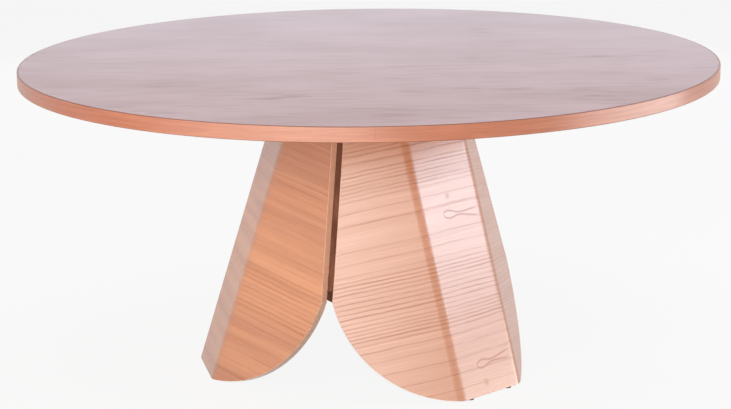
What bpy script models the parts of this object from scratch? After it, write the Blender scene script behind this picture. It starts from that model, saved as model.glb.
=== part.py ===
"""Round dining table: a veneered top on a base of three moulded plywood petals.

Metres, +Z up. The origin is on the floor under the middle of the top, and the front is -Y.
Each petal is a flat blank, bent at two parallel creases and tilted outward. A point of it is given by
how far across the blank it lies, how far down the blank, and how deep in the board.
"""
from math import asin, copysign, cos, pi, radians, sin, sqrt, tan

import bmesh
import bpy
from mathutils import Vector

# Whole table
TABLE_HEIGHT = 0.740
FIT_GAP = 0.0003                   # between pieces that touch

# Top
TOP_DIAMETER = 1.650
TOP_THICKNESS = 0.033              # veneers included
FACE_VENEER = 0.0012
BALANCE_VENEER = 0.0012
BAND_WIDTH = 0.004                 # edge band, measured inward
BAND_ARRIS = 0.0015                # eased outer edges of the band
BAND_JOINT_TURN = radians(0.8)     # place of the band's joint, from the front to the right
BAND_JOINT_LEAN = radians(11.0)    # slope of the joint on the edge
TOP_SEGMENTS = 144

# Petals
BASE_TURN = radians(-17.2)         # the front seam, from the front to the right
PETAL_TILT = radians(17.8)         # outward lean from the vertical
PETAL_BEND = radians(37.6)         # turn at each crease
PETAL_THICKNESS = 0.020
MIDDLE_WIDTH = 0.189               # middle facet, between the sharp lines of its creases
CREASE_RADIUS = 0.040              # outside radius of a rounded crease
HEAD_RADIUS = 0.1845               # axis to the middle facet's outer face at the petal's head
SEAM_GAP = 0.027                   # between the outer corners of two petals
CORNER_RADIUS = 0.299              # round lower corners of the blank
CORNER_CENTRE = 0.038              # their centres, from the blank's centre line
FOOT_CUT = 0.004                   # what the level foot takes off the round blank
PETAL_ARRIS = 0.0015               # eased edges
CREASE_STEPS = 6
CORNER_STEPS = 20

# Battens behind the seams
BATTEN_WIDTH = 0.070
BATTEN_EDGE = 0.012                # thickness at its edges, more along its ridge
BATTEN_SETBACK = 0.021             # its lower end, above the point where the petals part

# Plates and cleats inside the base
HEAD_PLATE = 0.018
RIB_PLATE = 0.018
RIB_HEIGHT = 0.275                 # rib plate's underside above the floor
RIB_HOLE_DIAMETER = 0.160          # hand hole, to reach the bolts
CLEAT_LENGTH = 0.120
CLEAT_DEPTH = 0.028
CLEAT_HEIGHT = 0.030

# Bolts that hold the top
BOLT_COUNT = 6
BOLT_CIRCLE_DIAMETER = 0.200
BOLT_DIAMETER = 0.008
BOLT_HEAD_DIAMETER = 0.014
BOLT_HEAD_HEIGHT = 0.005
BOLT_HEAD_CHAMFER = 0.002
BOLT_POINT_CHAMFER = 0.001
BOLT_GRIP = 0.012                  # length of bolt inside its insert
WASHER_DIAMETER = 0.022
WASHER_THICKNESS = 0.0016
INSERT_DIAMETER = 0.013
INSERT_LENGTH = 0.016
HOLE_CLEARANCE = 0.0005            # around a bolt, on the radius
SMALL_SEGMENTS = 16
HAND_HOLE_SEGMENTS = 32

# Floor glides
GLIDE_HEIGHT = 0.004
GLIDE_DIAMETER = 0.017
GLIDE_SPREAD = 0.062               # from the petal's centre line
GLIDE_PIN_DIAMETER = 0.003
GLIDE_PIN_LENGTH = 0.013
GLIDE_ROUND = 0.0012

# Fineness of the meshes
MERGE_DISTANCE = 0.00001
SMOOTH_ANGLE = radians(30.0)       # sharper edges are shaded hard
FLAT_ANGLE = radians(0.1)          # faces that turn less than this are one flat face
ARRIS_ANGLE = radians(50.0)        # sharper edges of a petal are eased
ARRIS_STEPS = 2
ROUND_STEPS = 3                    # of a small quarter round
BISECTION_STEPS = 60

# Names, each with its place round the base counted from the front seam
PETAL_NAMES = ("right", "rear", "left")
SEAM_NAMES = ("front", "rear_right", "rear_left")
SECTOR = 2 * pi / len(PETAL_NAMES)

# Levels and radii that follow
CUT_SPARE = 0.02                   # how far cutters reach past what they cut
TOP_RADIUS = TOP_DIAMETER / 2
TOP_UNDERSIDE = TABLE_HEIGHT - TOP_THICKNESS
HEAD_Z = TOP_UNDERSIDE - FIT_GAP
FOOT_Z = GLIDE_HEIGHT + FIT_GAP
CORE_RADIUS = TOP_RADIUS - BAND_WIDTH - FIT_GAP
CORE_BOTTOM = TOP_UNDERSIDE + BALANCE_VENEER + FIT_GAP
CORE_TOP = TABLE_HEIGHT - FACE_VENEER - FIT_GAP
PLATE_BOTTOM = HEAD_Z - HEAD_PLATE
PETAL_RUN = (HEAD_Z - FOOT_Z) / cos(PETAL_TILT)
MIDDLE_HALF = MIDDLE_WIDTH / 2 - CREASE_RADIUS * tan(PETAL_BEND / 2)
CREASE_END = MIDDLE_HALF + CREASE_RADIUS * PETAL_BEND
INNER_DEPTH = PETAL_THICKNESS + FIT_GAP
BOLT_HOLE_RADIUS = BOLT_DIAMETER / 2 + HOLE_CLEARANCE
INSERT_HOLE_RADIUS = INSERT_DIAMETER / 2 + FIT_GAP
INSERT_HOLE_DEPTH = INSERT_LENGTH + 2 * FIT_GAP


# Scene helpers

def clear_scene():
    for obj in list(bpy.data.objects):
        bpy.data.objects.remove(obj, do_unlink=True)


def new_collection(name):
    collection = bpy.data.collections.new(name)
    bpy.context.scene.collection.children.link(collection)
    return collection


def new_material(name, colour, roughness, metallic=0.0):
    material = bpy.data.materials.new(name)
    material.use_nodes = True
    shader = material.node_tree.nodes["Principled BSDF"]
    shader.inputs["Base Color"].default_value = (*colour, 1.0)
    shader.inputs["Roughness"].default_value = roughness
    shader.inputs["Metallic"].default_value = metallic
    return material


def add_object(name, mesh, material=None, parent=None, turn=0.0, place=(0.0, 0.0, 0.0)):
    """A part of the table, or a cutter where it has no material."""
    obj = bpy.data.objects.new(name, mesh)
    obj.rotation_euler.z = turn
    obj.location = place
    obj.parent = parent
    if material is None:
        obj.hide_render = True
        obj.display_type = "WIRE"
        cutters.objects.link(obj)
    else:
        if not mesh.materials:
            mesh.materials.append(material)
        parts.objects.link(obj)
    return obj


def finish_mesh(bm, name):
    mesh = bpy.data.meshes.new(name)
    bmesh.ops.recalc_face_normals(bm, faces=bm.faces)
    bm.to_mesh(mesh)
    bm.free()
    return mesh


def shade(mesh):
    mesh.shade_smooth()
    mesh.set_sharp_from_angle(angle=SMOOTH_ANGLE)


def hull_mesh(name, points):
    """The convex solid through the given points."""
    bm = bmesh.new()
    for point in points:
        bm.verts.new(point)
    bmesh.ops.convex_hull(bm, input=bm.verts)
    bmesh.ops.dissolve_limit(bm, angle_limit=FLAT_ANGLE, verts=bm.verts, edges=bm.edges)
    return finish_mesh(bm, name)


def add_cylinder(bm, radius, bottom, top, segments, centre=(0.0, 0.0)):
    made = bmesh.ops.create_cone(bm, cap_ends=True, segments=segments, radius1=radius, radius2=radius,
                                 depth=top - bottom)
    bmesh.ops.translate(bm, verts=made["verts"], vec=(*centre, (top + bottom) / 2))


def cylinder_mesh(name, radius, bottom, top, segments, centres=((0.0, 0.0),)):
    bm = bmesh.new()
    for centre in centres:
        add_cylinder(bm, radius, bottom, top, segments, centre)
    return finish_mesh(bm, name)


def box_mesh(name, low, high):
    bm = bmesh.new()
    bmesh.ops.create_cube(bm, size=1.0)
    bmesh.ops.scale(bm, vec=[b - a for a, b in zip(low, high)], verts=bm.verts)
    bmesh.ops.translate(bm, vec=[(a + b) / 2 for a, b in zip(low, high)], verts=bm.verts)
    return finish_mesh(bm, name)


def turned_mesh(name, outline, segments, closed=False):
    """A profile in X and Z, top to bottom down its outer side, turned round the Z axis."""
    mesh = bpy.data.meshes.new(name)
    edges = [(i, i + 1) for i in range(len(outline) - 1)]
    if closed:
        edges.append((len(outline) - 1, 0))
    mesh.from_pydata([(x, 0.0, z) for x, z in outline], edges, [])
    helper = add_object(name + "_profile", mesh)
    screw = helper.modifiers.new("Turn", "SCREW")
    screw.steps = segments
    screw.render_steps = segments
    screw.use_merge_vertices = True
    screw.merge_threshold = MERGE_DISTANCE
    return baked(helper)


def baked(helper):
    """The helper's mesh with its modifiers applied. The helper itself is removed."""
    bpy.context.view_layer.update()
    graph = bpy.context.evaluated_depsgraph_get()
    mesh = bpy.data.meshes.new_from_object(helper.evaluated_get(graph))
    mesh.name = helper.name
    bpy.data.objects.remove(helper, do_unlink=True)
    return mesh


def cut(obj, cutter, operation="DIFFERENCE"):
    modifier = obj.modifiers.new(cutter.name, "BOOLEAN")
    modifier.operation = operation
    modifier.object = cutter


def arc(centre, radius, start, end, steps):
    """Points of an arc in X and Z. Angles are counted from +X towards +Z."""
    points = []
    for step in range(steps + 1):
        angle = start + (end - start) * step / steps
        points.append((centre[0] + radius * cos(angle), centre[1] + radius * sin(angle)))
    return points


def around(point, angle):
    """A point of the front, carried round the Z axis to the right."""
    return (point[0] * cos(angle) - point[1] * sin(angle), point[0] * sin(angle) + point[1] * cos(angle),
            point[2])


def crossing(difference, low, high):
    """Where a difference changes sign between two values, or the high one where it doesn't."""
    sign = copysign(1.0, difference(low))
    if sign * difference(high) > 0:
        return high
    for _ in range(BISECTION_STEPS):
        middle = (low + high) / 2
        if sign * difference(middle) > 0:
            low = middle
        else:
            high = middle
    return (low + high) / 2


# Shape of a petal, in a frame where its middle faces -Y

def section(across, depth=0.0):
    """The bent section of the board: how far sideways and how far outward of the middle facet."""
    run = abs(across)
    radius = CREASE_RADIUS - depth
    bend = min(max((run - MIDDLE_HALF) / CREASE_RADIUS, 0.0), PETAL_BEND)
    straight = max(run - CREASE_END, 0.0)
    sideways = min(run, MIDDLE_HALF) + radius * sin(bend) + straight * cos(bend)
    outward = radius * cos(bend) - CREASE_RADIUS - straight * sin(bend)
    return copysign(sideways, across), outward


def petal_point(across, down, depth=0.0):
    sideways, outward = section(across, depth)
    reach = HEAD_RADIUS + outward * cos(PETAL_TILT) + down * sin(PETAL_TILT)
    return Vector((sideways, -reach, HEAD_Z + outward * sin(PETAL_TILT) - down * cos(PETAL_TILT)))


def down_to(height, across, depth=0.0):
    """How far down the blank a height is."""
    outward = section(across, depth)[1]
    return (HEAD_Z + outward * sin(PETAL_TILT) - height) / cos(PETAL_TILT)


def seam_down(across):
    """How far down the blank its seam edge lies, half a gap from the plane between two petals."""
    sideways, outward = section(across)
    reach = (abs(sideways) * cos(SECTOR / 2) + SEAM_GAP / 2) / sin(SECTOR / 2)
    return (reach - HEAD_RADIUS - outward * cos(PETAL_TILT)) / sin(PETAL_TILT)


def corner_down(across):
    """How far down the blank its round lower edge lies."""
    reach = max(abs(across) - CORNER_CENTRE, 0.0)
    drop = sqrt(max(CORNER_RADIUS ** 2 - reach ** 2, 0.0))
    return PETAL_RUN + FOOT_CUT - CORNER_RADIUS + drop


def head_down(across):
    """Upper edge of the blank, a little above the level where the head is cut."""
    return max(down_to(HEAD_Z + CUT_SPARE, across), seam_down(across))


def tip_across():
    """Where the seam edge meets the round lower corner."""
    return crossing(lambda a: corner_down(a) - seam_down(a), CREASE_END, CORNER_CENTRE + CORNER_RADIUS)


def inner_reach(height):
    """Axis to the inner face of the middle facet."""
    return HEAD_RADIUS + (HEAD_Z - height) * tan(PETAL_TILT) - PETAL_THICKNESS / cos(PETAL_TILT)


def stations():
    """Places across half the blank where its edges or its bend need a point."""
    tip = tip_across()
    last_turn = asin(min((tip - CORNER_CENTRE) / CORNER_RADIUS, 1.0))
    shoulder = crossing(lambda a: seam_down(a) - down_to(HEAD_Z + CUT_SPARE, a), CREASE_END, tip)
    bend_run = CREASE_RADIUS * PETAL_BEND
    places = [MIDDLE_HALF + bend_run * step / CREASE_STEPS for step in range(CREASE_STEPS + 1)]
    places += [shoulder, tip]
    least = bend_run / CREASE_STEPS / 2
    for step in range(CORNER_STEPS):
        place = CORNER_CENTRE + CORNER_RADIUS * sin(last_turn * step / CORNER_STEPS)
        crowded = min(abs(place - other) for other in (MIDDLE_HALF, CREASE_END, shoulder)) < least
        if not crowded and not MIDDLE_HALF < place < CREASE_END:
            places.append(place)
    return sorted(places)


def petal_mesh():
    """A bent board: the lower edge of the blank, extruded up to its upper edge, then thickened inward."""
    half = stations()
    places = [-place for place in reversed(half)] + half
    bm = bmesh.new()
    lower = [bm.verts.new(petal_point(place, corner_down(place))) for place in places]
    edges = [bm.edges.new(pair) for pair in zip(lower, lower[1:])]
    made = bmesh.ops.extrude_edge_only(bm, edges=edges)
    upper = [item for item in made["geom"] if isinstance(item, bmesh.types.BMVert)]
    for vert in upper:
        place = places[min(range(len(places)), key=lambda i: (lower[i].co - vert.co).length)]
        vert.co = petal_point(place, head_down(place))
    bmesh.ops.remove_doubles(bm, verts=bm.verts, dist=MERGE_DISTANCE)
    bm.normal_update()
    if bm.faces[:][0].normal.y > 0:
        bmesh.ops.reverse_faces(bm, faces=bm.faces)
    mesh = bpy.data.meshes.new("petal")
    bm.to_mesh(mesh)
    bm.free()
    helper = add_object("petal_blank", mesh)
    board = helper.modifiers.new("Board", "SOLIDIFY")
    board.thickness = PETAL_THICKNESS
    board.offset = -1.0
    board.use_even_offset = True
    slab = box_mesh("level_slab", (-TOP_RADIUS, -TOP_RADIUS, FOOT_Z), (TOP_RADIUS, TOP_RADIUS, HEAD_Z))
    cut(helper, add_object("level_slab", slab), "INTERSECT")
    arris = helper.modifiers.new("Arris", "BEVEL")
    arris.width = PETAL_ARRIS
    arris.segments = ARRIS_STEPS
    arris.limit_method = "ANGLE"
    arris.angle_limit = ARRIS_ANGLE
    holes = cylinder_mesh("pin_holes", GLIDE_PIN_DIAMETER / 2 + FIT_GAP, FOOT_Z - CUT_SPARE,
                          FOOT_Z + GLIDE_PIN_LENGTH + FIT_GAP, SMALL_SEGMENTS, glide_centres())
    cut(helper, add_object("pin_holes", holes))
    made = baked(helper)
    shade(made)
    return made


def glide_centres():
    """Where a petal's two glides stand, under the middle of its board."""
    reach = inner_reach(FOOT_Z) + PETAL_THICKNESS / cos(PETAL_TILT) / 2
    return [(side * GLIDE_SPREAD, -reach) for side in (-1, 1)]


def seam_across(height, depth):
    """Where the side facet would reach the plane between two petals."""
    def past_seam(across):
        point = petal_point(across, down_to(height, across, depth), depth)
        return point.x * cos(SECTOR / 2) + point.y * sin(SECTOR / 2)
    return crossing(past_seam, CREASE_END, TOP_RADIUS)


def inside_ring(height):
    """Outline of the hollow inside the three petals at a height, in the base's frame."""
    end = seam_across(height, INNER_DEPTH)
    bend_run = CREASE_RADIUS * PETAL_BEND
    half = [MIDDLE_HALF + bend_run * step / CREASE_STEPS for step in range(CREASE_STEPS + 1)]
    places = [-place for place in reversed(half)] + half + [end]
    ring = []
    for number in range(len(PETAL_NAMES)):
        for place in places:
            point = petal_point(place, down_to(height, place, INNER_DEPTH), INNER_DEPTH)
            ring.append(around(point, SECTOR * (number + 0.5)))
    return ring


def plate_mesh(name, bottom, top):
    """A plate whose edges slope with the petals that it fits between."""
    return hull_mesh(name, inside_ring(bottom) + inside_ring(top))


def cleat_mesh(name, top):
    """A block on the inner face of a middle facet, with its back sloped to that face."""
    bottom = top - CLEAT_HEIGHT
    face = inner_reach(top) - FIT_GAP - CLEAT_DEPTH
    points = []
    for side in (-1, 1):
        for height in (bottom, top):
            back = inner_reach(height) - FIT_GAP / cos(PETAL_TILT)
            points.append((side * CLEAT_LENGTH / 2, -back, height))
            points.append((side * CLEAT_LENGTH / 2, -face, height))
    return hull_mesh(name, points)


def batten_mesh(name, bottom, top, spare=0.0, front_spare=0.0):
    """A ridged strip behind the seam at -Y. Its two front faces lie along the petals' inner faces."""
    half = BATTEN_WIDTH / 2 + spare
    points = []
    for height in (bottom, top):
        ridge = Vector(around(petal_point(seam_across(height, INNER_DEPTH),
                                          down_to(height, seam_across(height, INNER_DEPTH), INNER_DEPTH),
                                          INNER_DEPTH), -SECTOR / 2))
        inner = Vector(around(petal_point(CREASE_END, down_to(height, CREASE_END, INNER_DEPTH), INNER_DEPTH),
                              -SECTOR / 2))
        slope = (inner.y - ridge.y) / abs(inner.x - ridge.x)
        front = ridge.y - front_spare
        edge = front + slope * half
        back = ridge.y + slope * half + BATTEN_EDGE + spare
        points += [(0.0, front, height), (-half, edge, height), (half, edge, height),
                   (-half, back, height), (half, back, height)]
    return hull_mesh(name, points)


# Parts

def make_top():
    centres = [around((0.0, -BOLT_CIRCLE_DIAMETER / 2, 0.0), bolt_turn(number))[:2]
               for number in range(BOLT_COUNT)]
    insert_holes = add_object("insert_holes", cylinder_mesh(
        "insert_holes", INSERT_HOLE_RADIUS, CORE_BOTTOM - CUT_SPARE, CORE_BOTTOM + INSERT_HOLE_DEPTH,
        SMALL_SEGMENTS, centres), parent=base)
    bolt_holes = add_object("bolt_holes", cylinder_mesh(
        "bolt_holes", BOLT_HOLE_RADIUS, PLATE_BOTTOM - CUT_SPARE, CORE_BOTTOM,
        SMALL_SEGMENTS, centres), parent=base)
    core = add_object("top_core", cylinder_mesh("top_core", CORE_RADIUS, CORE_BOTTOM, CORE_TOP,
                                                TOP_SEGMENTS), core_board)
    cut(core, insert_holes)
    add_object("face_veneer", cylinder_mesh("face_veneer", CORE_RADIUS, TABLE_HEIGHT - FACE_VENEER,
                                            TABLE_HEIGHT, TOP_SEGMENTS), top_veneer)
    balance = add_object("balance_veneer", cylinder_mesh(
        "balance_veneer", CORE_RADIUS, TOP_UNDERSIDE, TOP_UNDERSIDE + BALANCE_VENEER, TOP_SEGMENTS),
        under_veneer)
    cut(balance, bolt_holes)
    plate = add_object("head_plate", plate_mesh("head_plate", PLATE_BOTTOM, HEAD_Z), plywood, base)
    cut(plate, bolt_holes)
    make_edge_band()


def make_edge_band():
    """Two half rings, cut from one ring by a leaning plane through the axis."""
    middle = TOP_RADIUS - BAND_ARRIS
    inner = TOP_RADIUS - BAND_WIDTH
    outline = arc((middle, TABLE_HEIGHT - BAND_ARRIS), BAND_ARRIS, pi / 2, 0.0, ROUND_STEPS)
    outline += arc((middle, TOP_UNDERSIDE + BAND_ARRIS), BAND_ARRIS, 0.0, -pi / 2, ROUND_STEPS)
    outline += [(inner, TOP_UNDERSIDE), (inner, TABLE_HEIGHT)]
    ring = turned_mesh("edge_band", outline, TOP_SEGMENTS, closed=True)
    shade(ring)
    reach = TOP_DIAMETER
    for side, name in ((-1, "edge_band_left"), (1, "edge_band_right")):
        band = add_object(name, ring.copy(), edge_wood)
        low, high = sorted((side * FIT_GAP / 2, side * reach))
        half = add_object(name + "_half", box_mesh(name + "_half", (low, -reach, -reach),
                                                   (high, reach, reach)))
        half.location.z = (TABLE_HEIGHT + TOP_UNDERSIDE) / 2
        half.rotation_euler = (0.0, BAND_JOINT_LEAN, BAND_JOINT_TURN)
        cut(band, half, "INTERSECT")


def bolt_turn(number):
    """Bolts stand midway between the cleats and the battens."""
    return 2 * pi * (number + 0.5) / BOLT_COUNT


def make_bolts():
    """Bolts with washers from below the head plate, into threaded inserts in the core."""
    shank = BOLT_DIAMETER / 2
    head = BOLT_HEAD_DIAMETER / 2
    washer_top = PLATE_BOTTOM - FIT_GAP
    head_top = washer_top - WASHER_THICKNESS - FIT_GAP
    tip = CORE_BOTTOM + FIT_GAP + BOLT_GRIP
    head_bottom = head_top - BOLT_HEAD_HEIGHT
    bolt_outline = [(0.0, tip), (shank - BOLT_POINT_CHAMFER, tip), (shank, tip - BOLT_POINT_CHAMFER),
                    (shank, head_top), (head, head_top), (head, head_bottom + BOLT_HEAD_CHAMFER),
                    (head - BOLT_HEAD_CHAMFER, head_bottom), (0.0, head_bottom)]
    washer_outline = [(WASHER_DIAMETER / 2, washer_top), (WASHER_DIAMETER / 2, washer_top - WASHER_THICKNESS),
                      (BOLT_HOLE_RADIUS, washer_top - WASHER_THICKNESS), (BOLT_HOLE_RADIUS, washer_top)]
    low = CORE_BOTTOM + FIT_GAP
    bore = shank + FIT_GAP
    insert_outline = [(0.0, low + INSERT_LENGTH), (INSERT_DIAMETER / 2, low + INSERT_LENGTH),
                      (INSERT_DIAMETER / 2, low), (bore, low), (bore, tip + FIT_GAP), (0.0, tip + FIT_GAP)]
    kinds = (("fixing_bolt", turned_mesh("fixing_bolt", bolt_outline, SMALL_SEGMENTS), steel),
             ("fixing_washer", turned_mesh("fixing_washer", washer_outline, SMALL_SEGMENTS, True), steel),
             ("threaded_insert", turned_mesh("threaded_insert", insert_outline, SMALL_SEGMENTS), brass))
    for name, mesh, material in kinds:
        shade(mesh)
        for number in range(BOLT_COUNT):
            turn = bolt_turn(number)
            place = around((0.0, -BOLT_CIRCLE_DIAMETER / 2, 0.0), turn)
            add_object(f"{name}_{number + 1}", mesh, material, base, turn, place)


def make_petals():
    """Each petal with its cleats and glides, which are placed in the petal's own frame."""
    board = petal_mesh()
    head_cleat = cleat_mesh("head_cleat", PLATE_BOTTOM - FIT_GAP)
    rib_cleat = cleat_mesh("rib_cleat", RIB_HEIGHT - FIT_GAP)
    pin = GLIDE_PIN_DIAMETER / 2
    pin_top = FOOT_Z + GLIDE_PIN_LENGTH
    foot = GLIDE_DIAMETER / 2
    outline = [(0.0, pin_top), (pin, pin_top - GLIDE_PIN_DIAMETER), (pin, GLIDE_HEIGHT), (foot, GLIDE_HEIGHT)]
    outline += arc((foot - GLIDE_ROUND, GLIDE_ROUND), GLIDE_ROUND, 0.0, -pi / 2, ROUND_STEPS)
    outline += [(0.0, 0.0)]
    glide = turned_mesh("floor_glide", outline, SMALL_SEGMENTS)
    shade(glide)
    for number, name in enumerate(PETAL_NAMES):
        petal = add_object("petal_" + name, board, petal_veneer, base, SECTOR * (number + 0.5))
        add_object("head_cleat_" + name, head_cleat, cleat_wood, petal)
        add_object("rib_cleat_" + name, rib_cleat, cleat_wood, petal)
        for letter, centre in zip("ab", glide_centres()):
            add_object(f"floor_glide_{name}_{letter}", glide, black_plastic, petal, place=(*centre, 0.0))


def make_battens_and_rib():
    """Battens behind the seams, and the rib plate that is notched round them."""
    tip = tip_across()
    bottom = petal_point(tip, corner_down(tip)).z + BATTEN_SETBACK
    batten = batten_mesh("seam_batten", bottom, PLATE_BOTTOM - FIT_GAP)
    notch = batten_mesh("batten_notch", RIB_HEIGHT - CUT_SPARE, RIB_HEIGHT + RIB_PLATE + CUT_SPARE,
                        FIT_GAP, CUT_SPARE)
    rib = add_object("rib_plate", plate_mesh("rib_plate", RIB_HEIGHT, RIB_HEIGHT + RIB_PLATE), plywood, base)
    for number, name in enumerate(SEAM_NAMES):
        turn = SECTOR * number
        add_object("seam_batten_" + name, batten, batten_wood, base, turn)
        cut(rib, add_object("batten_notch_" + name, notch, None, base, turn))
    hole = cylinder_mesh("rib_hole", RIB_HOLE_DIAMETER / 2, RIB_HEIGHT - CUT_SPARE,
                         RIB_HEIGHT + RIB_PLATE + CUT_SPARE, HAND_HOLE_SEGMENTS)
    cut(rib, add_object("rib_hole", hole, None, base))


clear_scene()
parts = new_collection("dining_table")
cutters = new_collection("cutters")
cutters.hide_render = True
top_veneer = new_material("top_veneer", (0.58, 0.44, 0.40), 0.32)
under_veneer = new_material("under_veneer", (0.62, 0.42, 0.30), 0.5)
core_board = new_material("core_board", (0.55, 0.42, 0.30), 0.8)
edge_wood = new_material("edge_wood", (0.74, 0.36, 0.18), 0.38)
petal_veneer = new_material("petal_veneer", (0.78, 0.50, 0.34), 0.36)
batten_wood = new_material("batten_wood", (0.22, 0.10, 0.06), 0.6)
plywood = new_material("plywood", (0.66, 0.50, 0.34), 0.7)
cleat_wood = new_material("cleat_wood", (0.64, 0.46, 0.30), 0.7)
steel = new_material("steel", (0.60, 0.60, 0.62), 0.35, 1.0)
brass = new_material("brass", (0.70, 0.55, 0.28), 0.4, 1.0)
black_plastic = new_material("black_plastic", (0.02, 0.02, 0.02), 0.5)
base = bpy.data.objects.new("base", None)
base.rotation_euler.z = BASE_TURN
parts.objects.link(base)
make_top()
make_bolts()
make_petals()
make_battens_and_rib()
bpy.context.view_layer.update()
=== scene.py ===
"""Looks of the round dining table: lacquered wood veneers, a studio floor, soft lights and the camera."""
from collections import namedtuple
from math import cos, pi, radians, sin

import bpy
from mathutils import Matrix, Vector


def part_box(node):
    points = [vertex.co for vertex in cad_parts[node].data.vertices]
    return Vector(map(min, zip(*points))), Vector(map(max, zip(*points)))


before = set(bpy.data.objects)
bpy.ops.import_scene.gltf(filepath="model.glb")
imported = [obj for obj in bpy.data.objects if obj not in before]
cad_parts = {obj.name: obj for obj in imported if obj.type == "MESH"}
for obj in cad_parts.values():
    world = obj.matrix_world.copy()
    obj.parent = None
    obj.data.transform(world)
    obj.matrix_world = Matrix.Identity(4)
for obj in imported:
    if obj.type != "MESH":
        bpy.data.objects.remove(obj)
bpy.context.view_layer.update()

# Camera: a long lens in front of the table, a little above the top
PHOTO_WIDTH = 731
FOCAL_PIXELS = 2109.7
SENSOR_WIDTH = 36.0
CAMERA_DISTANCE = 4.95
CAMERA_HEIGHT = 1.5692
CAMERA_YAW = radians(-0.125)
CAMERA_PITCH = radians(13.474)
CAMERA_ROLL = radians(-0.661)

# Directions in the table's frame
SIDEWAYS = (1.0, 0.0, 0.0)
FORWARD = (0.0, 1.0, 0.0)
UPWARD = (0.0, 0.0, 1.0)

# Base: how its petals stand
BASE_TURN = radians(-17.2)
PETAL_TILT = radians(17.8)
HEAD_RADIUS = 0.1845
PETAL_TURNS = {"petal_right": radians(60), "petal_rear": radians(180), "petal_left": radians(300)}
PETAL_SEED = 7.0                   # step of the noise from petal to petal

# A noise of the grain: its scale along and across the grain, its seed and its detail
Noise = namedtuple("Noise", "along across seed detail")

# A change of range: the low and the high end of a value, and what it becomes there
Range = namedtuple("Range", "low high new_low new_high")

# The part of a noise's values that is used where a wood has no range of its own
USUAL = (0.3, 0.7)
WANDERING = (0.2, 0.8)
CLOUDED = (0.32, 0.68)

# Petals: noises of the veneer
PETAL_SLOW = Noise(4.0, 5.0, 0.0, 2.0)
PETAL_QUICK = Noise(30.0, 60.0, 0.0, 2.0)
PETAL_FADE = Noise(9.0, 90.0, 1.0, 2.0)
PETAL_BROAD = Noise(1.6, 30.0, 3.0, 3.0)
PETAL_STREAK = Noise(4.0, 150.0, 5.0, 2.0)
PETAL_FIBRE = Noise(16.0, 480.0, 0.0, 3.0)

# Petals: how much of each noise shows
FADE_SHARE = Range(0.32, 0.62, 0.55, 1.0)
STREAK_SHARE = Range(0.50, 0.72, 0.0, 0.28)
FIBRE_SHARE = Range(0.42, 0.75, 0.0, 0.20)

# Petals: colours that are laid over the ground
STREAK_COLOUR = (0.86, 0.42, 0.25)
FIBRE_COLOUR = (0.478, 0.182, 0.088)
LINE_COLOUR = (0.40, 0.105, 0.035)
# Painted shade: the inside of the hollow base is darkened towards this colour
INSIDE_SHADE_COLOUR = (0.36, 0.150, 0.085)
INSIDE_SHADE_SHARE = 0.6
# Cut edges: paler end grain, brightened further as painted light from the front right
LIT_EDGE_COLOUR = (1.0, 0.65, 0.48)

# Petals: the lacquer, which is duller on lines, on cut edges and inside
PETAL_ROUGHNESS = (0.23, 0.28)
PETAL_IOR = 1.65
LINE_GLOSS = 0.50
EDGE_GLOSS = 0.25
INSIDE_GLOSS = 0.1

# Petals: how far a face turns from the middle facet before it is a cut edge, as the normals' dot product
EDGE_TURN = (0.69, 0.73)

# Petals: figure of the veneer, in metres
WAVE = 0.0034                      # slow wander of the ring lines
RIPPLE = 0.0009                    # quick wander of the ring lines
RING_LINE = 0.0031                 # half width of a ring line
CLOSE_RINGS = 0.009                # gap between rings at which a line has its full strength
SPARSE_RINGS = 0.03                # gap at which it has the strength of a line by itself
EYE_LINE = 0.0040                  # half width of an eye's line
EYE_REACH = 0.126                  # length of an eye along the grain, branches included
EYE_HALF = 0.016                   # largest half width of an eye, at the ends of its branches

# Petals: strengths of the lines
WEAKEST_RING = 0.50                # of the faintest ring line
SPARSE_STRENGTH = 0.65             # of a ring line that stands far from its neighbours
EYE_STRENGTH = 0.80
KNOT_STRENGTH = 0.55
LINE_STRENGTH = {"petal_right": 0.85, "petal_left": 0.45, "petal_rear": 0.80}

# Petals: strength of the broad bands
BAND_STRENGTH = {"petal_right": 0.35, "petal_left": 0.55, "petal_rear": 0.50}

# Strength of the lines on either side of the crease at the right of each petal's middle, as seen from outside
CREASE_PLACE = (0.085, 0.105)
FACET_STRENGTH = {"petal_right": (1.0, 0.35), "petal_left": (0.20, 1.0), "petal_rear": (1.0, 0.6)}

# Half width of an eye along its length, both as shares: a loop, a neck and two branches that part
EYE_PROFILE = (
    (0.0, 0.0), (0.02, 0.30), (0.06, 0.46), (0.12, 0.56), (0.18, 0.54), (0.25, 0.42),
    (0.31, 0.25), (0.37, 0.20), (0.47, 0.20), (0.62, 0.36), (0.80, 0.56), (1.0, 0.72),
)
EYE_START = (-0.012, 0.0)          # shares of its length over which an eye's line comes in
EYE_END = (0.7, 1.0)               # shares of its length over which its branches fade out

# Ring spacing down each petal: a place down from its head, and the gap between rings there
RINGS = {
    "petal_right": (
        (0.0, 0.0098), (0.135, 0.009), (0.150, 0.022), (0.168, 0.022), (0.176, 0.0085), (0.232, 0.0085),
        (0.240, 0.0272), (0.288, 0.0272), (0.300, 0.066), (0.340, 0.066), (0.352, 0.029), (0.400, 0.026),
        (0.410, 0.0095), (0.445, 0.0088), (0.452, 0.0115), (0.515, 0.0115), (0.522, 0.0082), (0.560, 0.0085),
        (0.570, 0.018), (0.590, 0.024), (0.620, 0.030), (0.720, 0.040), (0.800, 0.040),
    ),
    "petal_left": (
        (0.0, 0.020), (0.18, 0.020), (0.24, 0.012), (0.30, 0.030), (0.40, 0.034), (0.44, 0.012),
        (0.54, 0.010), (0.60, 0.026), (0.80, 0.030),
    ),
    "petal_rear": (
        (0.0, 0.020), (0.12, 0.024), (0.20, 0.009), (0.34, 0.010), (0.42, 0.030), (0.56, 0.024),
        (0.64, 0.010), (0.80, 0.012),
    ),
}

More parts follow.
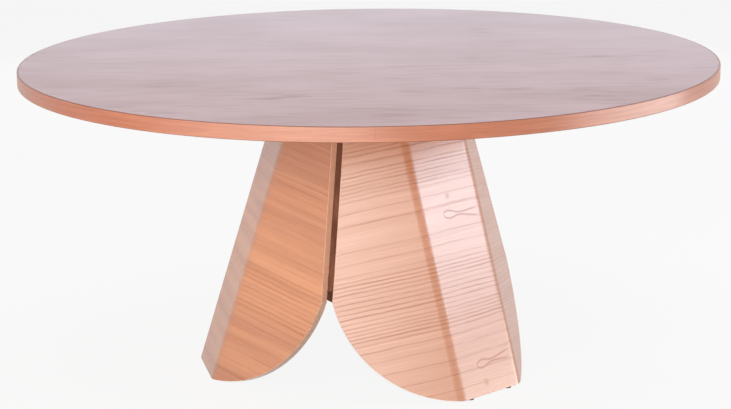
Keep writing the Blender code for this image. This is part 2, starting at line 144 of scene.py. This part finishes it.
# Eyes of each petal: the closed end along and down the veneer, and the lean of the eye
EYES = {
    "petal_right": ((-0.0283, 0.3116, 0.075), (-0.0290, 0.6674, -0.070)),
    "petal_left": (),
    "petal_rear": ((-0.03, 0.47, 0.05),),
}

# Pin knots of each petal: their place along and down the veneer, and their reach
KNOTS = {
    "petal_right": ((-0.0109, 0.7103, 0.0130), (-0.0035, 0.2700, 0.0120)),
    "petal_left": (),
    "petal_rear": ((0.06, 0.30, 0.0085),),
}

# Lighter and darker ground of each petal's veneer; the darker one also serves for the painted shade below
GROUND = {
    "petal_right": ((0.70, 0.287, 0.149), (0.58, 0.215, 0.100)),
    "petal_left": ((0.95, 0.390, 0.172), (0.60, 0.210, 0.084)),
    "petal_rear": ((0.74, 0.300, 0.150), (0.60, 0.220, 0.100)),
}

# Share of the darker ground at places down each petal: painted shade under the top's overhang and towards the
# feet, and on the left petal also darker bands of its veneer
PAINTED_SHADE = {
    "petal_right": ((0.0, 0.0), (0.8, 0.0)),
    "petal_left": (
        (0.0, 1.0), (0.19, 0.95), (0.25, 0.40), (0.31, 0.35), (0.37, 0.05), (0.50, 0.22),
        (0.56, 0.35), (0.62, 0.25), (0.70, 0.50), (0.8, 0.60),
    ),
    "petal_rear": ((0.0, 0.5), (0.2, 0.4), (0.3, 0.0), (0.8, 0.1)),
}

# Top: noises of the veneer, and how much of each shows
TOP_SLOW = Noise(2.0, 5.0, 0.0, 2.0)
TOP_CLOUD = Noise(2.0, 5.0, 9.0, 2.0)
TOP_DASH = Noise(8.0, 42.0, 4.0, 2.0)
TOP_FIBRE = Noise(9.0, 420.0, 0.0, 3.0)
TOP_WAVE = 0.012                   # wander of the grain, in metres
TOP_NEARNESS = Range(-0.7, 0.6, 1.0, 0.25)         # from the front of the top to its back
TOP_MOTTLE_SHARE = Range(0.45, 0.75, 0.0, 0.40)
TOP_SMUDGE_SHARE = Range(0.44, 0.62, 0.05, 0.62)
TOP_FIBRE_SHARE = Range(0.4, 0.75, 0.0, 0.30)

# Top: lighter and darker ground at the far and the near side, and what is laid over it. The pale grey-pink of
# this ground is painted sheen of the lacquer, painted paler and bluer at the far side where the sheen is
# stronger
TOP_SHEEN_LIGHT = ((0.665, 0.550, 0.606), (0.700, 0.494, 0.516))
TOP_SHEEN_DARK = ((0.600, 0.493, 0.540), (0.620, 0.420, 0.430))
TOP_MARK_COLOUR = (0.45, 0.265, 0.255)
TOP_FIBRE_COLOUR = (0.46, 0.330, 0.345)

# Top: the satin lacquer
TOP_GLOSS = (0.030, 0.026)
TOP_MARK_GLOSS = 0.60
TOP_ROUGHNESS = (0.34, 0.36)
TOP_PORES = 0.00002

# Top: dark smudges of the veneer, as their place, half length and half width
SMUDGES = (
    (0.13, -0.14, 0.10, 0.030), (0.33, -0.12, 0.06, 0.027), (0.11, -0.43, 0.05, 0.036),
    (0.21, -0.43, 0.04, 0.030), (0.31, -0.41, 0.05, 0.036), (0.57, -0.01, 0.10, 0.031),
    (0.29, 0.42, 0.03, 0.042), (-0.19, -0.50, 0.08, 0.069), (0.20, -0.29, 0.03, 0.032),
    (-0.47, -0.33, 0.04, 0.027), (0.65, -0.33, 0.03, 0.031), (0.49, -0.50, 0.07, 0.080),
    (0.24, -0.01, 0.02, 0.035), (0.02, -0.68, 0.08, 0.053),
)
SMUDGE_RIM = Range(0.2, 1.9, 1.0, 0.0)             # from a smudge's middle to beyond its half width

# Edge band: noises round the rim and up the band, and how much of each shows
BAND_STREAK = Noise(5.0, 150.0, 0.0, 4.0)
BAND_FIBRE = Noise(26.0, 700.0, 0.0, 3.0)
BAND_PATCH = Noise(4.0, 12.0, 2.0, 2.0)
BAND_FIBRE_SHARE = Range(0.4, 0.75, 0.0, 0.35)
BAND_PATCH_SHARE = Range(0.35, 0.75, 0.0, 0.4)

# Edge band: colours and lacquer, which is dull and dark on the eased arrises
BAND_LIGHT = (0.645, 0.22, 0.11)
BAND_DARK = (0.527, 0.154, 0.07)
BAND_FIBRE_COLOUR = (0.38, 0.10, 0.045)
BAND_PATCH_COLOUR = (0.527, 0.149, 0.075)
ARRIS_COLOUR = (0.34, 0.135, 0.095)
ARRIS_TURN = (0.10, 0.35)          # upward part of a normal from which a face is an arris
BAND_GLOSS = 1.0
ARRIS_GLOSS = 0.05
BAND_ROUGHNESS = 0.32
BAND_PORES = 0.00005
ROUND_TURN = (0.985, 0.998)        # dot product with the radius from which a face is shaded round

# Hidden woods: names of their nodes, material, grain, lighter and darker colour, roughness and gloss
HIDDEN_WOODS = (
    (("balance_veneer",), "under_veneer_wood", SIDEWAYS, (0.66, 0.38, 0.24), (0.55, 0.29, 0.17), 0.6, 0.3),
    (("top_core",), "core_wood", SIDEWAYS, (0.60, 0.44, 0.30), (0.48, 0.33, 0.21), 0.8, 0.3),
    # The seam batten's colour is a dark stain, darkened further as painted shade of the narrow gap between
    # the petals
    (("seam_batten",), "batten_wood", UPWARD, (0.26, 0.115, 0.074), (0.155, 0.067, 0.042), 0.8, 0.05),
    (("head_plate",), "plate_wood", SIDEWAYS, (0.70, 0.52, 0.35), (0.60, 0.42, 0.27), 0.7, 0.3),
    (("rib_plate",), "rib_wood", FORWARD, (0.70, 0.52, 0.35), (0.60, 0.42, 0.27), 0.7, 0.3),
    (("head_cleat", "rib_cleat"), "cleat_wood", SIDEWAYS, (0.64, 0.42, 0.27), (0.52, 0.31, 0.18), 0.7, 0.3),
)
HIDDEN_STREAKS = 44.0
HIDDEN_FIBRES = 440.0
HIDDEN_DETAIL = 3.0
HIDDEN_STRETCH = 0.06              # scale along the grain, as a share of that across it
HIDDEN_FIBRE_SHARE = Range(0.45, 0.75, 0.0, 0.45)
HIDDEN_FIBRE_SHADE = 0.6
HIDDEN_PORES = 0.0001

# Metals: names of their nodes, material, colour and roughness
METALS = (
    ("fixing_", "zinc", (0.62, 0.62, 0.64), 0.34),
    ("threaded_insert", "insert_brass", (0.72, 0.54, 0.26), 0.36),
)
METAL_MOTTLES = 900.0
METAL_DETAIL = 3.0
METAL_DULLNESS = 0.7
METAL_POLISH = 0.08                # how far the roughness goes below its middle, and above it
METAL_TARNISH = 0.1
METAL_PITS = 0.00002

# Plastic of the floor glides
PLASTIC_GRAINS = 1800.0
PLASTIC_COLOURS = ((0.012, 0.012, 0.013), (0.03, 0.03, 0.031))
PLASTIC_ROUGHNESS = (0.42, 0.6)
PLASTIC_PITS = 0.00003

# Studio: a white floor under a pale sky
FLOOR_SIZE = 40.0
FLOOR_WHITE = 0.90                 # share of plain white that the camera sees on the floor
FLOOR_BOUNCE = (0.55, 0.55, 0.55)
FLOOR_SEEN = (0.9, 0.9, 0.9)
FLOOR_ROUGHNESS = 0.9
AMBIENT = 0.15

# Soft boxes: name, place, target, width and height, radiance and colour
BASE_MIDDLE = (0.0, 0.0, 0.4)
TOP_MIDDLE = (0.0, 0.0, 0.7)
SOFT_BOXES = (
    ("front_light", (0.0, -4.8, 1.35), BASE_MIDDLE, (1.35, 2.0), 3.9, (0.92, 1.0, 0.98)),
    ("front_left_light", (-1.45, -4.7, 1.25), BASE_MIDDLE, (1.5, 1.8), 5.0, (1.07, 1.0, 0.90)),
    ("left_light", (-2.9, -3.9, 1.25), BASE_MIDDLE, (1.5, 1.8), 4.1, (1.06, 1.0, 0.91)),
    ("left_high_light", (-3.0, -3.6, 2.6), (0.0, 0.0, 0.3), (1.4, 1.0), 3.3, (1.04, 1.0, 0.96)),
    ("front_strip", (-1.3, -4.6, 0.15), (0.0, 0.0, 0.5), (3.0, 0.3), 8.4, (1.04, 1.0, 0.92)),
    ("left_strip", (-3.3, -3.0, 0.15), (0.0, 0.0, 0.5), (2.2, 0.3), 4.8, (1.03, 1.0, 0.95)),
    ("right_light", (3.6, -0.30, 1.33), (0.2, 0.0, 0.45), (2.4, 1.1), 4.25, (0.86, 1.0, 1.15)),
    ("right_strip", (3.3, -0.50, 0.18), (0.2, 0.0, 0.7), (2.9, 0.35), 6.5, (1.06, 1.0, 0.96)),
    ("overhead_light", (0.0, 0.0, 3.4), TOP_MIDDLE, (3.0, 3.0), 1.25, (1.0, 1.0, 1.0)),
    ("back_light", (0.0, 4.5, 1.35), TOP_MIDDLE, (5.0, 1.2), 1.8, (1.06, 1.0, 1.08)),
)


class Material:
    """A node material, with short calls for the nodes that the finishes are made of."""

    def __init__(self, name, roughness=0.5, metallic=0.0, specular=0.5):
        self.made = bpy.data.materials.new(name)
        self.made.use_nodes = True
        self.tree = self.made.node_tree
        self.shader = self.tree.nodes["Principled BSDF"]
        self.set("Roughness", roughness)
        self.set("Metallic", metallic)
        self.set("Specular IOR Level", specular)

    def plug(self, socket, value):
        """Link a socket to another, or set it to a plain value."""
        if isinstance(value, bpy.types.NodeSocket):
            self.tree.links.new(value, socket)
        else:
            socket.default_value = value

    def set(self, name, value):
        self.plug(self.shader.inputs[name], value)

    def add(self, kind, inputs, **settings):
        node = self.tree.nodes.new(kind)
        for key, value in settings.items():
            setattr(node, key, value)
        for key, value in inputs.items():
            self.plug(node.inputs[key], value)
        return node

    def math(self, operation, *values):
        return self.add("ShaderNodeMath", dict(enumerate(values)), operation=operation).outputs[0]

    def vector(self, operation, *values, **named):
        """A vector's sum, product or the like."""
        inputs = {**dict(enumerate(values)), **named}
        return self.add("ShaderNodeVectorMath", inputs, operation=operation).outputs["Vector"]

    def measure(self, operation, *values):
        """A number that is worked out from vectors, such as a distance."""
        return self.add("ShaderNodeVectorMath", dict(enumerate(values)), operation=operation).outputs["Value"]

    def dot(self, vector, direction):
        return self.measure("DOT_PRODUCT", vector, direction)

    def join(self, x, y, z=0.0):
        return self.add("ShaderNodeCombineXYZ", {0: x, 1: y, 2: z}).outputs[0]

    def split(self, vector):
        return self.add("ShaderNodeSeparateXYZ", {0: vector}).outputs

    def place(self):
        return self.add("ShaderNodeTexCoord", {}).outputs["Object"]

    def normal(self):
        return self.add("ShaderNodeNewGeometry", {}).outputs["Normal"]

    def noise(self, vector, scale=1.0, detail=2.0):
        inputs = {"Vector": vector, "Scale": scale, "Detail": detail}
        return self.add("ShaderNodeTexNoise", inputs).outputs[0]

    def grain(self, noise, along, across, seed=0.0):
        """Noise that is stretched along the grain."""
        stretched = self.math("MULTIPLY", along, noise.along)
        narrowed = self.math("MULTIPLY", across, noise.across)
        return self.noise(self.join(stretched, narrowed, seed + noise.seed), detail=noise.detail)

    def spread(self, value, low, high, new_low=0.0, new_high=1.0, kind="SMOOTHSTEP"):
        """The value moved from one range to another and kept inside it."""
        inputs = {0: value, 1: low, 2: high, 3: new_low, 4: new_high}
        return self.add("ShaderNodeMapRange", inputs, interpolation_type=kind).outputs[0]

    def wander(self, value, noise, reach):
        """The value moved up and down by a noise."""
        return self.math("ADD", value, self.spread(noise, *WANDERING, -reach, reach, "LINEAR"))

    def mix(self, factor, first, second):
        """A mix of two colours, which are the node's sockets 6 and 7."""
        node = self.add("ShaderNodeMix", {0: factor, 6: rgba(first), 7: rgba(second)}, data_type="RGBA")
        return node.outputs[2]

    def ramp(self, value, stops):
        """A value that follows straight lines between a few stops."""
        node = self.add("ShaderNodeValToRGB", {0: value})
        elements = node.color_ramp.elements
        while len(elements) < len(stops):
            elements.new(1.0)
        for element, (position, level) in zip(elements, stops):
            element.position = position
            element.color = (level, level, level, 1.0)
        return node.outputs[0]

    def rounded(self, place):
        """The normal, turned straight away from the table's axis on faces that almost point that way."""
        radial = self.vector("NORMALIZE", self.vector("MULTIPLY", place, (1.0, 1.0, 0.0)))
        normal = self.normal()
        share = self.spread(self.dot(normal, radial), *ROUND_TURN)
        return self.add("ShaderNodeMix", {0: share, 4: normal, 5: radial}, data_type="VECTOR").outputs[1]

    def bump(self, height, distance, normal=None):
        inputs = {"Height": height, "Distance": distance}
        if normal is not None:
            inputs["Normal"] = normal
        self.set("Normal", self.add("ShaderNodeBump", inputs).outputs[0])


def rgba(colour):
    return colour if isinstance(colour, bpy.types.NodeSocket) else (*colour, 1.0)


def scaled(colour, factor):
    return [factor * part for part in colour]


# Petals

def figure_stops(rings, length):
    """Ring numbers and ring spacings at stops along the veneer, both as shares of the largest."""
    phase = 0.0
    phases = [0.0]
    for (start, gap), (end, next_gap) in zip(rings, rings[1:]):
        phase += (end - start) * 2 / (gap + next_gap)
        phases.append(phase)
    widest = max(gap for _, gap in rings)
    numbers = [(place / length, value / phase) for (place, _), value in zip(rings, phases)]
    spacings = [(place / length, gap / widest) for place, gap in rings]
    return numbers, spacings, phase, widest


def ring_lines(wood, across, rings, seed):
    """Thin dark lines across the grain, as far apart as the rings say, each of its own strength."""
    length = rings[-1][0]
    numbers, spacings, total, widest = figure_stops(rings, length)
    share = wood.math("DIVIDE", across, length)
    phase = wood.math("MULTIPLY", wood.ramp(share, numbers), total)
    spacing = wood.math("MULTIPLY", wood.ramp(share, spacings), widest)
    off_line = wood.math("ABSOLUTE", wood.math("SUBTRACT", wood.math("FRACT", phase), 0.5))
    line = wood.spread(wood.math("MULTIPLY", off_line, spacing), 0.0, RING_LINE, 1.0, 0.0)
    number = wood.math("ADD", wood.math("FLOOR", phase), seed)
    chance = wood.add("ShaderNodeTexWhiteNoise", {"W": number}, noise_dimensions="1D").outputs["Value"]
    own = wood.spread(chance, 0.0, 1.0, WEAKEST_RING, 1.0, "LINEAR")
    crowded = wood.spread(spacing, CLOSE_RINGS, SPARSE_RINGS, 1.0, SPARSE_STRENGTH, "LINEAR")
    return wood.math("MULTIPLY", line, wood.math("MULTIPLY", own, crowded))


def eye(wood, along, down, spot):
    """A looped line of the figure with a neck, whose two ends run on along the grain."""
    start, depth, lean = spot
    share = wood.math("DIVIDE", wood.math("SUBTRACT", along, start), EYE_REACH)
    axis = wood.math("MULTIPLY_ADD", share, lean * EYE_REACH, depth)
    off_axis = wood.math("ABSOLUTE", wood.math("SUBTRACT", down, axis))
    half = wood.math("MULTIPLY", wood.ramp(share, EYE_PROFILE), EYE_HALF)
    distance = wood.math("ABSOLUTE", wood.math("SUBTRACT", off_axis, half))
    line = wood.spread(distance, 0.0, EYE_LINE, 1.0, 0.0)
    begun = wood.spread(share, *EYE_START)
    ended = wood.spread(share, *EYE_END, 1.0, 0.0)
    return wood.math("MULTIPLY", line, wood.math("MULTIPLY", begun, ended))


def knot(wood, along, down, spot):
    """A small dark smudge of the figure."""
    start, depth, reach = spot
    distance = wood.measure("DISTANCE", wood.join(along, down), (start, depth, 0.0))
    return wood.spread(distance, 0.0, reach, 1.0, 0.0)


def petal_lines(wood, name, along, down, across, seed):
    """All dark lines of a petal's veneer, from 0 to 1."""
    fade = wood.spread(wood.grain(PETAL_FADE, along, across, seed), *FADE_SHARE)
    lines = wood.math("MULTIPLY", ring_lines(wood, across, RINGS[name], seed), fade)
    for spot in EYES[name]:
        loop = wood.math("MULTIPLY", eye(wood, along, down, spot), EYE_STRENGTH)
        lines = wood.math("MAXIMUM", lines, loop)
    for spot in KNOTS[name]:
        smudge = wood.math("MULTIPLY", knot(wood, along, across, spot), KNOT_STRENGTH)
        lines = wood.math("MAXIMUM", lines, smudge)
    return wood.math("MULTIPLY", lines, wood.spread(along, *CREASE_PLACE, *FACET_STRENGTH[name]))


def petal_ground(wood, name, along, across, broad, seed):
    """The colour of a petal's veneer between its lines."""
    banded = wood.spread(broad, *CLOUDED, 0.0, BAND_STRENGTH[name])
    # Painted shade: the ground darkens down the petal as the table given below says, deepest under the top
    length = PAINTED_SHADE[name][-1][0]
    stops = [(place / length, level) for place, level in PAINTED_SHADE[name]]
    shade = wood.ramp(wood.math("DIVIDE", across, length), stops)
    ground = wood.mix(wood.math("ADD", banded, shade), *GROUND[name])
    streak = wood.grain(PETAL_STREAK, along, across, seed)
    ground = wood.mix(wood.spread(streak, *STREAK_SHARE), ground, STREAK_COLOUR)
    fibre = wood.grain(PETAL_FIBRE, along, across, seed)
    return wood.mix(wood.spread(fibre, *FIBRE_SHARE), ground, FIBRE_COLOUR)


def petal_wood(name, turn, seed):
    """Veneer whose grain lies across a petal, with cut edges brightened as painted light and a duller inside
    darkened as painted shade.
    """
    wood = Material(name + "_wood")
    place = wood.place()
    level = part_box(name)[1].z
    sideways = (cos(turn), sin(turn), 0.0)
    downward = (sin(turn) * sin(PETAL_TILT), -cos(turn) * sin(PETAL_TILT), -cos(PETAL_TILT))
    outward = (sin(turn) * cos(PETAL_TILT), -cos(turn) * cos(PETAL_TILT), sin(PETAL_TILT))
    head = HEAD_RADIUS * sin(PETAL_TILT) - level * cos(PETAL_TILT)
    along = wood.dot(place, sideways)
    down = wood.math("SUBTRACT", wood.dot(place, downward), head)
    across = wood.wander(down, wood.grain(PETAL_SLOW, along, down, seed), WAVE)
    across = wood.wander(across, wood.grain(PETAL_QUICK, along, down, seed), RIPPLE)
    broad = wood.grain(PETAL_BROAD, along, across, seed)
    lines = petal_lines(wood, name, along, down, across, seed)
    ground = petal_ground(wood, name, along, across, broad, seed)
    colour = wood.mix(wood.math("MULTIPLY", lines, LINE_STRENGTH[name]), ground, LINE_COLOUR)
    facing = wood.dot(wood.normal(), outward)
    low, high = EDGE_TURN
    edge = wood.spread(wood.math("ABSOLUTE", facing), low, high, 1.0, 0.0)
    inside = wood.spread(facing, -high, -low, 1.0, 0.0)
    # Painted shade: the inside of the shells is darkened
    colour = wood.mix(wood.math("MULTIPLY", inside, INSIDE_SHADE_SHARE), colour, INSIDE_SHADE_COLOUR)
    # Painted light: the cut edges are brightened as if lit from the front right
    wood.set("Base Color", wood.mix(edge, colour, LIT_EDGE_COLOUR))
    wood.set("Roughness", wood.spread(broad, *USUAL, *PETAL_ROUGHNESS))
    wood.set("IOR", PETAL_IOR)
    gloss = wood.spread(lines, 0.0, 1.0, 1.0, LINE_GLOSS, "LINEAR")
    gloss = wood.math("MULTIPLY", gloss, wood.spread(edge, 0.0, 1.0, 1.0, EDGE_GLOSS))
    gloss = wood.math("MULTIPLY", gloss, wood.spread(inside, 0.0, 1.0, 1.0, INSIDE_GLOSS))
    wood.set("Specular IOR Level", gloss)
    return wood.made


# Top

def smudged(wood, along, across):
    """1 in the middle of each smudge of the top, falling to 0 at its rim."""
    here = wood.join(along, across)
    total = 0.0
    for x, y, half_length, half_width in SMUDGES:
        scale = (1 / half_length, 1 / half_width, 0.0)
        shift = (-x / half_length, -y / half_width, 0.0)
        distance = wood.measure("LENGTH", wood.vector("MULTIPLY_ADD", here, scale, shift))
        total = wood.math("MAXIMUM", total, wood.spread(distance, *SMUDGE_RIM))
    return total


def top_wood():
    """Veneer made pale by painted sheen, with soft clouds, short dark dashes and fine fibres."""
    wood = Material("top_veneer_wood")
    along, straight, _ = wood.split(wood.place())
    across = wood.wander(straight, wood.grain(TOP_SLOW, along, straight), TOP_WAVE)
    cloud = wood.grain(TOP_CLOUD, along, across)
    dash = wood.grain(TOP_DASH, along, across)
    fibre = wood.grain(TOP_FIBRE, along, across)
    nearness = wood.spread(straight, *TOP_NEARNESS, "LINEAR")
    mottle = wood.math("MULTIPLY", wood.spread(dash, *TOP_MOTTLE_SHARE), nearness)
    smudge = wood.math("MULTIPLY", smudged(wood, along, straight), wood.spread(dash, *TOP_SMUDGE_SHARE))
    marks = wood.math("MAXIMUM", mottle, smudge)
    # Painted sheen: the ground is paler and bluer towards the back of the top
    light = wood.mix(nearness, *TOP_SHEEN_LIGHT)
    dark = wood.mix(nearness, *TOP_SHEEN_DARK)
    colour = wood.mix(wood.spread(cloud, *CLOUDED), light, dark)
    colour = wood.mix(marks, colour, TOP_MARK_COLOUR)
    fibrous = wood.math("MULTIPLY", wood.spread(fibre, *TOP_FIBRE_SHARE), nearness)
    wood.set("Base Color", wood.mix(fibrous, colour, TOP_FIBRE_COLOUR))
    gloss = wood.spread(cloud, *CLOUDED, *TOP_GLOSS)
    dulled = wood.spread(marks, 0.0, 1.0, 1.0, TOP_MARK_GLOSS, "LINEAR")
    wood.set("Specular IOR Level", wood.math("MULTIPLY", gloss, dulled))
    wood.set("Roughness", wood.spread(fibre, *USUAL, *TOP_ROUGHNESS))
    wood.bump(fibre, TOP_PORES)
    return wood.made


def band_wood():
    """Orange wood that runs round the rim, with darker arrises."""
    wood = Material("edge_band_wood", roughness=BAND_ROUGHNESS)
    place = wood.place()
    x, y, z = wood.split(place)
    angle = wood.math("ARCTAN2", x, y)
    streak = wood.grain(BAND_STREAK, angle, z)
    fibre = wood.grain(BAND_FIBRE, angle, z)
    patch = wood.grain(BAND_PATCH, angle, z)
    colour = wood.mix(wood.spread(streak, *USUAL), BAND_LIGHT, BAND_DARK)
    colour = wood.mix(wood.spread(fibre, *BAND_FIBRE_SHARE), colour, BAND_FIBRE_COLOUR)
    colour = wood.mix(wood.spread(patch, *BAND_PATCH_SHARE), colour, BAND_PATCH_COLOUR)
    arris = wood.spread(wood.math("ABSOLUTE", wood.dot(wood.normal(), UPWARD)), *ARRIS_TURN)
    wood.set("Base Color", wood.mix(arris, colour, ARRIS_COLOUR))
    wood.set("Specular IOR Level", wood.spread(arris, 0.0, 1.0, BAND_GLOSS, ARRIS_GLOSS, "LINEAR"))
    wood.bump(fibre, BAND_PORES, wood.rounded(place))
    return wood.made


# Hidden pieces and fittings

def plain_wood(name, direction, light, dark, roughness, specular):
    """Wood of a hidden piece: fibres along one direction, with streaks and pores."""
    wood = Material(name, roughness=roughness, specular=specular)
    place = wood.place()
    stretch = wood.vector("SCALE", direction, Scale=wood.dot(place, direction))
    rest = wood.vector("SUBTRACT", place, stretch)
    grain = wood.vector("ADD", rest, wood.vector("SCALE", stretch, Scale=HIDDEN_STRETCH))
    streak = wood.noise(grain, HIDDEN_STREAKS, HIDDEN_DETAIL)
    fibre = wood.noise(grain, HIDDEN_FIBRES, HIDDEN_DETAIL)
    colour = wood.mix(wood.spread(streak, *USUAL), light, dark)
    fibrous = wood.spread(fibre, *HIDDEN_FIBRE_SHARE)
    wood.set("Base Color", wood.mix(fibrous, colour, scaled(dark, HIDDEN_FIBRE_SHADE)))
    wood.bump(fibre, HIDDEN_PORES)
    return wood.made


def metal(name, colour, roughness):
    finish = Material(name, metallic=1.0)
    mottle = finish.noise(finish.place(), METAL_MOTTLES, METAL_DETAIL)
    dull = scaled(colour, METAL_DULLNESS)
    finish.set("Base Color", finish.mix(finish.spread(mottle, *USUAL), colour, dull))
    rough = finish.spread(mottle, *USUAL, roughness - METAL_POLISH, roughness + METAL_TARNISH)
    finish.set("Roughness", rough)
    finish.bump(mottle, METAL_PITS)
    return finish.made


def plastic():
    finish = Material("glide_plastic")
    grain = finish.noise(finish.place(), PLASTIC_GRAINS)
    finish.set("Base Color", finish.mix(grain, *PLASTIC_COLOURS))
    finish.set("Roughness", finish.spread(grain, *USUAL, *PLASTIC_ROUGHNESS))
    finish.bump(grain, PLASTIC_PITS)
    return finish.made


def dress(prefix, material):
    """Give a material to every node whose name starts so."""
    for name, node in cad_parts.items():
        if name.startswith(prefix):
            node.data.materials.clear()
            node.data.materials.append(material)


def dress_table():
    for number, (name, turn) in enumerate(PETAL_TURNS.items()):
        dress(name, petal_wood(name, BASE_TURN + turn, PETAL_SEED * number))
    dress("face_veneer", top_wood())
    dress("edge_band", band_wood())
    for prefixes, *look in HIDDEN_WOODS:
        dress(prefixes, plain_wood(*look))
    for prefix, *look in METALS:
        dress(prefix, metal(*look))
    dress("floor_glide", plastic())


# Studio

def seen_directly(tree):
    """1 for camera, glossy and transmitted rays."""
    path = tree.nodes.new("ShaderNodeLightPath")
    total = path.outputs["Is Camera Ray"]
    for name in ("Is Glossy Ray", "Is Transmission Ray"):
        either = tree.nodes.new("ShaderNodeMath")
        either.operation = "MAXIMUM"
        tree.links.new(total, either.inputs[0])
        tree.links.new(path.outputs[name], either.inputs[1])
        total = either.outputs[0]
    return total


def make_world():
    """White where it is seen, and a weak light of its own."""
    world = bpy.data.worlds.new("studio")
    world.use_nodes = True
    bpy.context.scene.world = world
    tree = world.node_tree
    background = tree.nodes["Background"]
    background.inputs["Color"].default_value = (1.0, 1.0, 1.0, 1.0)
    level = tree.nodes.new("ShaderNodeMapRange")
    level.inputs["To Min"].default_value = AMBIENT
    tree.links.new(seen_directly(tree), level.inputs["Value"])
    tree.links.new(level.outputs[0], background.inputs["Strength"])


def floor_white():
    """A matt floor that looks nearly white and still takes a shadow."""
    finish = Material("floor_white", roughness=FLOOR_ROUGHNESS, specular=0.0)
    tree = finish.tree
    finish.set("Base Color", finish.mix(seen_directly(tree), FLOOR_BOUNCE, FLOOR_SEEN))
    share = finish.math("MULTIPLY", seen_directly(tree), FLOOR_WHITE)
    white = finish.add("ShaderNodeEmission", {}).outputs[0]
    blend = finish.add("ShaderNodeMixShader", {0: share, 1: finish.shader.outputs[0], 2: white})
    finish.plug(tree.nodes["Material Output"].inputs["Surface"], blend.outputs[0])
    return finish.made


def make_floor():
    mesh = bpy.data.meshes.new("floor")
    half = FLOOR_SIZE / 2
    corners = [(-half, -half, 0), (half, -half, 0), (half, half, 0), (-half, half, 0)]
    mesh.from_pydata(corners, [], [(0, 1, 2, 3)])
    floor = bpy.data.objects.new("floor", mesh)
    bpy.context.scene.collection.objects.link(floor)
    mesh.materials.append(floor_white())


def soft_box(name, place, target, size, radiance, colour):
    """An even rectangular lamp that the camera doesn't see."""
    light = bpy.data.lights.new(name, "AREA")
    light.shape = "RECTANGLE"
    light.size, light.size_y = size
    light.energy = radiance * pi * size[0] * size[1]
    light.color = colour
    box = bpy.data.objects.new(name, light)
    box.location = place
    box.rotation_euler = (Vector(target) - Vector(place)).to_track_quat("-Z", "Y").to_euler()
    box.visible_camera = False
    bpy.context.scene.collection.objects.link(box)


def make_lights():
    for lamp in SOFT_BOXES:
        soft_box(*lamp)


def make_camera():
    lens = bpy.data.cameras.new("camera")
    lens.sensor_fit = "HORIZONTAL"
    lens.sensor_width = SENSOR_WIDTH
    lens.lens = SENSOR_WIDTH * FOCAL_PIXELS / PHOTO_WIDTH
    ahead = cos(CAMERA_PITCH)
    forward = Vector((sin(CAMERA_YAW) * ahead, cos(CAMERA_YAW) * ahead, -sin(CAMERA_PITCH)))
    level = forward.cross(Vector(UPWARD)).normalized()
    upright = level.cross(forward)
    right = cos(CAMERA_ROLL) * level + sin(CAMERA_ROLL) * upright
    up = right.cross(forward)
    camera = bpy.data.objects.new("camera", lens)
    turn = Matrix((right, up, -forward)).transposed().to_4x4()
    camera.matrix_world = Matrix.Translation((0.0, -CAMERA_DISTANCE, CAMERA_HEIGHT)) @ turn
    bpy.context.scene.collection.objects.link(camera)
    bpy.context.scene.camera = camera


dress_table()
make_world()
make_floor()
make_lights()
make_camera()
bpy.context.scene.view_settings.view_transform = "Standard"
bpy.context.view_layer.update()
